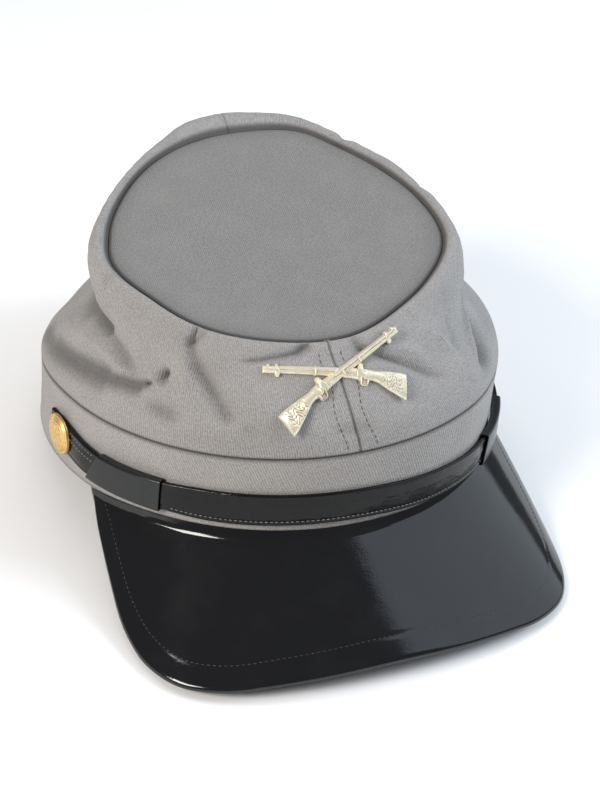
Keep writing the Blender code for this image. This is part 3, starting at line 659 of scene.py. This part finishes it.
# share of the height, lift above it, way out: the outer face with its rounded edges, then the inner one
lower = [(0.0, rounding * (1 - math.sin(a)), -rounding * (1 - math.cos(a))) for a in turns]
upper = [(1.0, -rounding * (1 - math.cos(a)), -rounding * (1 - math.sin(a))) for a in turns]
outer = lower + [(s, 0.0, 0.0) for s in np.linspace(0.06, 0.94, 24)] + upper
inner = [(s, lift, -wall - out) for s, lift, out in reversed(outer)]
profile = np.array(outer + inner + outer[:1])
heights = profile[:, :1] * top + profile[:, 1:2]
girth = np.radians(deg) * cap["meanRadius"]
uneven = band["uneven"] * wobble(girth, heights, 4, 0.018) * np.sin(np.pi * profile[:, :1])
outs = profile[:, 2:] + uneven
points = bandPoint(deg, heights, outs)
points[..., -1, :] = points[..., 0, :]
uvs = stack(girth, heights)
# painted shade: a dark line along the top edge, at the seam with the crown, and a fainter one along the lower
# edge
shade = 0.9 * bell(heights, top, 0.0008) + 0.6 * bell(heights, 0, 0.0012)
piece = gridPiece("clothBand", points, uvs, shade)
closeSolid(piece)
finishPiece(piece, bandCloth, ["band"], 50)
print("cloth ready", flush=True)


# peak

peak = {
    "endDeg": 66.7, "reach": 0.0408, "deep": 0.00201, "slope": 0.763, "flatten": 0.418, "lean": 0.0009,
    "endWidth": 0.0022, "columns": 260, "rows": 64, "groove": 0.0072, "grooveDepth": 0.00012,
    "grooveWidth": 0.0005, "lap": 0.0030, "lapReach": 0.0011,
}
peakLaps = [  # deg, share of the lap
    (-66, 0.40), (-52, 0.85), (-35, 1.00), (5, 1.00), (20, 0.60), (34, 0.30), (66, 0.30),
]
peakOutline = [  # across, forward
    (0.940, -1.145), (0.966, -0.475), (0.960, -0.138), (0.928, 0.185), (0.853, 0.482), (0.745, 0.679),
    (0.597, 0.822), (0.306, 0.961), (0.000, 1.000),
]


def peakEdge(share):
    end = oval(peak["endDeg"], cap["halfWidth"], cap["halfLength"])
    half = [(end[0], end[1] - peak["endWidth"])]
    half += [(x * cap["halfWidth"], -cap["halfLength"] - y * peak["reach"]) for x, y in peakOutline]
    outline = np.array(half + [(-x, y) for x, y in reversed(half[:-1])])
    places = np.concatenate(([0], np.cumsum(np.linalg.norm(np.diff(outline, axis=0), axis=1))))
    at = places[-1] / 2 * (1 + share)
    lean = peak["lean"] * smoothStep(4 - 4 * np.abs(share))
    return stack(lean - curve(places, outline[:, 0], at), curve(places, outline[:, 1], at), 0 * at)


def peakHeight(points):
    across = np.minimum(np.abs(points[..., 0]) / cap["halfWidth"], 0.999)
    reach = -cap["halfLength"] * np.sqrt(1 - across**2) - points[..., 1]
    slope = peak["slope"] * (1 - peak["flatten"] * (points[..., 0] / cap["halfWidth"]) ** 2)
    return -slope * np.maximum(reach, 0)


share = np.linspace(1, -1, peak["columns"])[None, :]
lap = peak["lap"] * tableLine(peakLaps, 1, share * peak["endDeg"])
root = bandPoint(share * peak["endDeg"], lap, cap["gap"])
root[..., 2] = 0
edge = peakEdge(share)
length = np.linalg.norm(edge - root, axis=-1)
# share of the way out, share of the thickness: the underside, the edge, then back along the upper face
profile = [(s, 1.0) for s in np.linspace(0.0, 0.99, 12)]
profile += [(0.996, 0.85), (1.0, 0.6), (1.0, 0.35), (0.996, 0.12)]
profile += [(s, 0.0) for s in np.linspace(0.99, 0.0, peak["rows"])]
profile = np.array(profile + profile[:1])
climb, depth = profile[:, :1], profile[:, 1:]
points = root + (edge - root) * climb[..., None]
lift = lap * (1 - smoothStep(climb * length / np.minimum(peak["lapReach"], length)))
inside = (1 - climb) * length
wideEnough = smoothStep((length - 0.009) / 0.004)
dip = bell(inside, peak["groove"], peak["grooveWidth"]) * wideEnough * (depth < 0.5)
points[..., 2] = peakHeight(points) - cap["gap"] + lift - peak["deep"] * depth - peak["grooveDepth"] * dip
piece = gridPiece("peakLeather", points, points[..., :2])
closeEnds(piece)
finishPiece(piece, peakLeather, ["peak"], 40)


# chin strap and keepers

strap = {
    "width": 0.0130, "thickness": 0.0014, "ridge": 0.0004, "rise": 0.0117, "droop": 0.0042, "stand": 0.0012,
    "endDeg": 83.0, "columns": 320, "edgeRound": 0.00055, "edgePoints": 24, "facePoints": 44, "backPoints": 8,
}
strapCourse = [  # deg, droop, stand, width
    (-90, -1.15, 0.2, 1.00), (-78, -1.00, 0.2, 1.00), (-69, -0.45, 0.9, 0.96), (-62, -0.18, 1.0, 0.90),
    (-46, -0.12, 1.0, 0.90), (-36, 0.00, 0.2, 1.00), (0, 0.00, 0.2, 1.00), (22, 0.70, 0.3, 1.00),
    (38, 1.00, 1.0, 0.92), (62, 1.00, 1.0, 0.90), (74, 0.80, 0.2, 1.00), (90, 0.70, 0.2, 1.00),
]


def strapLine(deg):
    # height of the strap's middle line, its stand-off from the band, its width
    droop, stand, width = [tableLine(strapCourse, k, deg) for k in (1, 2, 3)]
    height = strap["rise"] - strap["droop"] * droop
    return height, np.maximum(strap["stand"] * stand, cap["gap"]), strap["width"] * width


def ridges(up):
    # the strap is padded, with a bead along each edge, a groove under its lower stitches and a low ridge
    pad = 0.9 * np.cos(np.pi * np.clip(up, -0.5, 0.5)) ** 0.7
    beads = 0.35 * bell(np.abs(up), 0.445, 0.03)
    return pad + beads - 0.25 * bell(up, -0.36, 0.03) + 0.12 * bell(up, 0.12, 0.05)


deg = np.linspace(-strap["endDeg"], strap["endDeg"], strap["columns"])[None, :]
height, stand, width = strapLine(deg)
thick = strap["thickness"]
# once round the strap: up its lower edge, up its face, down its upper edge and down its back
corners = roundSection(strap["width"] / 2, thick / 2, strap["edgeRound"], strap["edgePoints"])
corners = [(up / strap["width"], out + thick / 2) for up, out in corners]
half = len(corners) // 2
around = corners[: half - 1 : -1]
around += [(up, thick) for up in np.linspace(-0.455, 0.455, strap["facePoints"])[1:-1]]
around += corners[half - 1 :: -1]
around += [(up, 0.0) for up in np.linspace(0.44, -0.44, strap["backPoints"])]
around = np.array(around + around[:1])
ups, outs = around[:, :1], around[:, 1:]
raised = np.where(outs > 0.9 * thick, strap["ridge"] * ridges(ups), 0)
points = bandPoint(deg, height + ups * width, stand + outs + raised)
uvs = stack(np.radians(deg) * cap["meanRadius"], ups * strap["width"])
piece = gridPiece("chinStrap", points, uvs)
closeEnds(piece)
finishPiece(piece, strapLeather, ["chin_strap"], 50)


keeper = {  # its length is in degrees round the band
    "length": 19.0, "wall": 0.0005, "corner": 0.0009, "crown": 0.0007, "softEdge": 0.00015,
    "rows": 60, "around": 64,
}


def strapKeeper(name, middleDeg, slant, replaced):
    wall, room = keeper["wall"], cap["gap"]
    place = np.linspace(-0.5, 0.5, keeper["rows"])[:, None]
    thickness = strap["thickness"] + strap["ridge"] + 2 * room + 2 * wall
    full = strap["width"] / 2
    section = roundSection(full, thickness / 2, keeper["corner"], keeper["around"])
    section = np.array(section + section[:1])
    share, across = section[:, 0][None, :] / full, section[:, 1][None, :]
    deg = middleDeg + keeper["length"] * place + slant * share * smoothStep((0.2 - place) / 0.7)
    height, stand, width = strapLine(deg)
    ups = share * (width / 2 + room + wall)
    centre = stand + (strap["thickness"] + strap["ridge"]) / 2
    crown = keeper["crown"] * np.cos(share * 1.5) * (across > 0)
    points = bandPoint(deg, height + ups, centre + across + crown)
    piece = gridPiece(name, points, stack(deg * 0.0017, ups))
    modify(piece, "SOLIDIFY", thickness=wall, offset=-1, use_even_offset=True, use_rim=True)
    bend = math.radians(50)
    modify(piece, "BEVEL", width=keeper["softEdge"], segments=2, limit_method="ANGLE", angle_limit=bend)
    return finishPiece(piece, keeperLeather, [replaced], 50)


strapKeeper("keeperRight", -55.0, 2.0, "keeper_right")
strapKeeper("keeperLeft", 50.5, 0.0, "keeper_left")
print("leather ready", flush=True)


# buttons

button = {
    "radius": 0.0080, "height": 0.0024, "deg": 78.0, "relief": 0.0002, "petals": 8, "columns": 97, "rows": 90,
}
buttonProfile = [  # share of the radius, share of the height
    (0.00, 1.00), (0.35, 0.97), (0.62, 0.84), (0.80, 0.62), (0.86, 0.46), (0.90, 0.44), (0.95, 0.50),
    (1.00, 0.36), (1.00, 0.10), (0.92, 0.00), (0.00, 0.00),
]


def sideButton(name, deg, replaced):
    angle = np.linspace(0, math.tau, button["columns"])[None, :]
    steps = range(len(buttonProfile))
    at = np.linspace(0, len(buttonProfile) - 1, button["rows"])[:, None]
    radius = curve(steps, [p[0] for p in buttonProfile], at)
    radius = np.where(at < 0.02, 0, np.where(at > len(buttonProfile) - 1.02, 0, radius))
    height = curve(steps, [p[1] for p in buttonProfile], at)
    petals = 0.5 + 0.5 * np.cos(button["petals"] * angle)  # a plain rosette inside a ring
    motif = smoothStep((0.60 - radius) / 0.06) * smoothStep((radius - 0.10) / 0.08) * petals
    motif = motif + bell(radius, 0.70, 0.035) + smoothStep((0.12 - radius) / 0.05)
    motif = motif * (at < 4)
    x, y = button["radius"] * radius * np.cos(angle), button["radius"] * radius * np.sin(angle)
    points = stack(x, y, button["height"] * height + button["relief"] * motif)
    piece = gridPiece(name, points, points[..., :2])
    closeSolid(piece)
    height, stand, width = strapLine(np.array(deg))
    face = float(stand) + strap["thickness"] + strap["ridge"] + cap["gap"]
    low = Vector(bandPoint(deg, height - width / 2, face))
    high = Vector(bandPoint(deg, height + width / 2, face))
    upward = (high - low).normalized()
    axis = Vector(outward(deg))
    axis = (axis - upward * axis.dot(upward)).normalized()
    place = Matrix((upward.cross(axis), upward, axis)).transposed().to_4x4()
    place.translation = Vector(bandPoint(deg, height, face))
    piece.data.transform(place)
    return finishPiece(piece, brass, [replaced], 40)


sideButton("buttonRight", -button["deg"], "button_right")
sideButton("buttonLeft", button["deg"], "button_left")


# badge: two crossed muskets in relief

badge = {
    "length": 0.0545, "depth": 0.0016, "step": 0.0007, "deg": -2.0, "climb": 0.70, "bend": 0.110,
    "scan": 30, "stations": 380, "across": 40,
}
muskets = {  # muzzle and butt, across and up, in shares of the length
    "musketUnder": ((-0.505, 0.140), (0.450, -0.065)), "musketOver": ((0.445, 0.265), (-0.455, -0.200)),
}
musketLine = [  # along, upper, lower, thick
    (0.000, 0.023, -0.024, 0.75), (0.300, 0.025, -0.029, 0.80), (0.520, 0.027, -0.034, 0.90),
    (0.600, 0.029, -0.040, 1.00), (0.640, 0.033, -0.046, 1.00), (0.700, 0.031, -0.050, 1.00),
    (0.750, 0.022, -0.046, 0.95), (0.790, 0.022, -0.056, 0.95), (0.870, 0.026, -0.100, 1.00),
    (0.960, 0.024, -0.142, 0.95), (1.000, 0.016, -0.154, 0.80),
]
musketBumps = [  # along, half width, upper, lower: sights, bands, swivels, hammer and guard
    (0.034, 0.008, 0.013, 0.000), (0.090, 0.008, 0.014, 0.000), (0.098, 0.013, 0.000, 0.024),
    (0.350, 0.006, 0.003, 0.003), (0.490, 0.006, 0.003, 0.003), (0.560, 0.007, 0.008, 0.000),
    (0.660, 0.016, 0.036, 0.000), (0.690, 0.026, 0.000, 0.034),
]


def badgeFrame():
    # the badge's middle on the cloth, its three directions, and how far out it must lie to clear the cloth
    rows = np.arange(len(sideLine))
    climbs = np.array([r[0] for r in sideLine])
    k = int(np.argmax(climbs >= badge["climb"]))
    row = k - (climbs[k] - badge["climb"]) / (climbs[k] - climbs[k - 1])
    steps = ((0, 0), (2, 0), (-2, 0), (0, 1), (0, -1))
    near = [sidePoint(badge["deg"] + d, row + r, False) for d, r in steps]
    across = unit(near[1] - near[2])
    up = near[3] - near[4]
    up = unit(up - across * (up @ across))
    out = np.cross(across, up)
    scan = badge["deg"] + np.arange(-badge["scan"], badge["scan"] + 1)[None, :]
    off = sidePoint(scan, rows[:, None], False) - near[0]
    x, y, high = off @ across, off @ up, off @ out
    inside = (np.abs(x) < badge["length"] / 2) & (np.abs(y) < badge["length"] / 2)
    seat = np.max(np.where(inside, high + x * x / (2 * badge["bend"]), 0)) + cap["gap"]
    return near[0], across, up, out, seat


badgeMiddle, badgeAcross, badgeUp, badgeOut, badgeSeat = badgeFrame()


def musket(name, ends, lift, replaced):
    muzzle, butt = [np.array(end) * badge["length"] for end in ends]
    lengthwise = unit(butt - muzzle)
    side = np.array((-lengthwise[1], lengthwise[0]))
    side = side * np.sign(side[1])
    along = np.linspace(0, 1, badge["stations"])[None, :]  # 0 at the muzzle, 1 at the butt
    stops = [r[0] for r in musketLine]
    upper, lower, thick = [np.interp(along, stops, [r[k] for r in musketLine]) for k in (1, 2, 3)]
    for middle, half, over, under in musketBumps:
        flat = smoothStep((1.5 - np.abs(along - middle) / half) / 0.8)
        upper, lower = upper + over * flat, lower - under * flat
    front = [(across, 1.0) for across in np.linspace(0, 1, badge["across"])]
    back = [(across, 0.0) for across in np.linspace(1, 0, 8)]
    profile = np.array(front + back)
    across, face = profile[:, :1], profile[:, 1:]  # 0 at the lower edge; 1 on the face, 0 at the back
    rounded = np.sqrt(np.clip(1 - np.abs(2 * across - 1) ** 2.6, 0, 1))
    barrel = np.sqrt(np.clip(1 - ((across - 0.70) / 0.30) ** 2, 0, 1))
    stock = 0.8 * np.sqrt(np.clip(1 - ((across - 0.31) / 0.33) ** 2, 0, 1))
    whole = smoothStep((along - 0.57) / 0.05)
    height = np.maximum(barrel, stock) * (1 - whole) + rounded * whole
    for middle, half, over, under in musketBumps:
        if over and under:  # the bands go right round barrel and stock
            flat = smoothStep((1.5 - np.abs(along - middle) / half) / 0.5)
            height = height * (1 - flat) + 1.08 * rounded * flat
    x = (lower + (upper - lower) * across) * badge["length"]
    # engraving on the butt, inside its edges
    carved = smoothStep((along - 0.80) / 0.04) * smoothStep((0.975 - along) / 0.02)
    carved = carved * smoothStep((0.5 - np.abs(across - 0.5)) / 0.14)
    place = along * badge["length"]
    swirl = np.sin(2600 * x + 3.2 * np.sin(1500 * place) + 1.1)
    swirl = swirl * np.cos(2100 * place + 2.0 * np.sin(1300 * x))
    lock = smoothStep((0.035 - np.abs(along - 0.665)) / 0.006)
    lock = lock * smoothStep((0.3 - np.abs(across - 0.5)) / 0.05)
    height = height + 0.10 * swirl * carved + 0.12 * lock
    guard = smoothStep((0.022 - np.abs(along - 0.69)) / 0.006)
    guard = guard * smoothStep((0.19 - np.abs(across - 0.20)) / 0.04)
    height = height * (1 - 0.55 * guard)
    endEase = smoothStep(along / 0.012 + 0.35) * smoothStep((1 - along) / 0.008 + 0.35)
    height = (lift + badge["depth"] * thick) * np.clip(height, 0, 1.3) * endEase * face
    reach = along * np.linalg.norm(butt - muzzle)
    flatPlace = muzzle + lengthwise * reach[..., None] + side * x[..., None]
    bend = flatPlace[..., 0] ** 2 / (2 * badge["bend"])
    points = badgeMiddle + badgeAcross * flatPlace[..., :1] + badgeUp * flatPlace[..., 1:]
    points = points + badgeOut * (badgeSeat + height - bend)[..., None]
    points = np.concatenate([points, points[:1]])
    piece = gridPiece(name, points, stack(place + 0 * points[..., 0], points[..., 2]))
    closeEnds(piece)
    return finishPiece(piece, gold, replaced, 40)


musket("musketUnder", muskets["musketUnder"], 0.0, ["badge"])
musket("musketOver", muskets["musketOver"], badge["step"], [])
print("badge ready", flush=True)


# rows of stitches on the front seam, the peak and the strap


def onSide(deg, row, lift):
    points = sidePoint(deg, row)
    normal = unit(np.cross(sidePoint(deg + 0.3, row) - points, sidePoint(deg, row + 0.02) - points))
    return points + normal * lift, normal


# off and sway are degrees from the front seam, low and high are rows of sideLine, and filled is the share
# of the pitch that shows thread
seamStitch = {
    "off": 3.4, "sway": 0.6, "low": 1.4, "high": 12.4, "pitch": 0.0024, "filled": 0.72, "size": 0.00032,
    "lift": 0.00006,
}
for name, side in (("seamStitchRight", -1), ("seamStitchLeft", 1)):
    rows = np.linspace(seamStitch["low"], seamStitch["high"], 60)
    degs = crownSide["frontSeam"] + side * seamStitch["off"] + seamStitch["sway"] * np.sin(rows)
    line, normals = onSide(degs, rows, seamStitch["lift"])
    holes, shares = evenly(line, seamStitch["pitch"], seamStitch["filled"])
    outs = between(shares, np.linspace(0, 1, len(rows)), normals)
    stitches(name, holes, outs, seamStitch["size"], greyThread)

peakStitch = {"reach": 0.93, "pitch": 0.0021, "filled": 0.62, "size": 0.00034}
shares = np.linspace(-peakStitch["reach"], peakStitch["reach"], 400)
root = bandPoint(shares * peak["endDeg"], 0.0, cap["gap"])
edge = peakEdge(shares)
span = np.linalg.norm(edge - root, axis=-1)
line = root + (edge - root) * (1 - peak["groove"] / span)[..., None]
line[..., 2] = peakHeight(line) - cap["gap"] - 0.5 * peak["grooveDepth"]
near = 0.0004  # the surface's slope is taken over twice this length
slopes = [peakHeight(line + step) - peakHeight(line - step) for step in near * np.eye(3)[:2]]
normals = unit(stack(-slopes[0] / (2 * near), -slopes[1] / (2 * near), 1 + 0 * slopes[0]))
holes, shares = evenly(line, peakStitch["pitch"], peakStitch["filled"])
outs = between(shares, np.linspace(0, 1, len(line)), normals)
stitches("peakStitches", holes, outs, peakStitch["size"], blackThread)

strapStitch = {"pitch": 0.0019, "filled": 0.68, "size": 0.00040, "lift": 0.00004}
strapRows = [  # name, up as a share of the width, from deg, to deg
    ("strapStitchLow", -0.36, -43, 44), ("strapStitchHigh", 0.36, -76, -64),
    ("strapStitchMiddle", 0.15, -76, -64),
]
for name, up, low, high in strapRows:
    degs = np.linspace(low, high, 120)
    height, stand, width = strapLine(degs)
    lift = stand + strap["thickness"] + strap["ridge"] * ridges(np.array(up)) + strapStitch["lift"]
    line = bandPoint(degs, height + up * width, lift)
    holes, shares = evenly(line, strapStitch["pitch"], strapStitch["filled"])
    outs = outward(low + (high - low) * shares)
    stitches(name, holes, outs, strapStitch["size"], glintPaintedThread)
print("stitches ready", flush=True)


# floor, camera and studio light

bpy.ops.mesh.primitive_plane_add(size=40)
floor = bpy.context.object
floor.name = "studioFloor"
floorPaint = Paint("pale floor")
floorNoise = floorPaint.noise(floorPaint.place("Object"), 3.0)
floorTone = floorPaint.mix(floorNoise, (0.84, 0.84, 0.84), (0.88, 0.88, 0.88))
floor.data.materials.append(floorPaint.surface(Base_Color=floorTone, Roughness=0.9))


def towards(azimuth, elevation):
    # from the cap: azimuth runs from the front towards the wearer's left, elevation up from the level
    level = math.cos(elevation)
    return Vector((math.sin(azimuth) * level, -math.cos(azimuth) * level, math.sin(elevation)))


# degrees, metres, and pixels of a picture 600 wide and 800 high
view = {
    "azimuth": -19.94, "elevation": 29.25, "roll": -0.27, "distance": 0.700, "focal": 1664.8,
    "middle": (261.9, 402.6), "wide": 600, "high": 800,
}
azimuth, elevation, roll = [math.radians(view[key]) for key in ("azimuth", "elevation", "roll")]
back = towards(azimuth, elevation)
right = Vector((math.cos(azimuth), math.sin(azimuth), 0))
upward = back.cross(right)
rightTurned = right * math.cos(roll) + upward * math.sin(roll)
upTurned = upward * math.cos(roll) - right * math.sin(roll)
cameraData = bpy.data.cameras.new("photoCamera")
camera = bpy.data.objects.new("photoCamera", cameraData)
bpy.context.scene.collection.objects.link(camera)
pose = Matrix((rightTurned, upTurned, back)).transposed().to_4x4()
pose.translation = back * view["distance"]
camera.matrix_world = capPlace @ pose
cameraData.lens = view["focal"] * cameraData.sensor_width / view["high"]
cameraData.shift_x = (view["wide"] / 2 - view["middle"][0]) / view["high"]
cameraData.shift_y = (view["middle"][1] - view["high"] / 2) / view["high"]
bpy.context.scene.camera = camera


studio = [  # name, azimuth, elevation, distance, wide, tall, turn, watts, colour, seen in gloss
    ("keyLight", -72, 36, 1.4, 0.5, 0.5, 0, 17.5, (1.0, 0.955, 0.91), True),
    ("blueLight", 90, 38, 1.3, 1.1, 1.6, 52, 7.4, (0.80, 0.90, 1.0), True),
    ("rightFill", 68, 34, 1.5, 0.6, 0.6, 0, 16.5, (0.84, 0.91, 1.0), False),
    ("cornerLight", -101, 57, 1.2, 0.08, 0.16, 0, 0.4, (1.0, 1.0, 1.0), True),
    ("floorLight", 170, 72, 1.8, 1.6, 1.6, 0, 9.0, (1.0, 1.0, 1.0), False),
]
for name, azimuth, elevation, distance, wide, tall, turn, watts, colour, inGloss in studio:
    data = bpy.data.lights.new(name, "AREA")
    data.shape, data.size, data.size_y = "RECTANGLE", wide, tall
    data.energy, data.color = watts, colour
    light = bpy.data.objects.new(name, data)
    bpy.context.scene.collection.objects.link(light)
    direction = towards(math.radians(azimuth), math.radians(elevation))
    light.location = Vector((0, 0, 0.06)) + direction * distance
    light.rotation_mode = "QUATERNION"
    turned = Quaternion((0, 0, 1), math.radians(turn))
    light.rotation_quaternion = direction.to_track_quat("Z", "Y") @ turned
    light.visible_glossy = inGloss
world = bpy.data.worlds.new("studio")
bpy.context.scene.world = world
world.use_nodes = True
world.node_tree.nodes["Background"].inputs[0].default_value = (0.93, 0.96, 1.0, 1)
world.node_tree.nodes["Background"].inputs[1].default_value = 0.19
bpy.context.scene.view_settings.view_transform = "Standard"
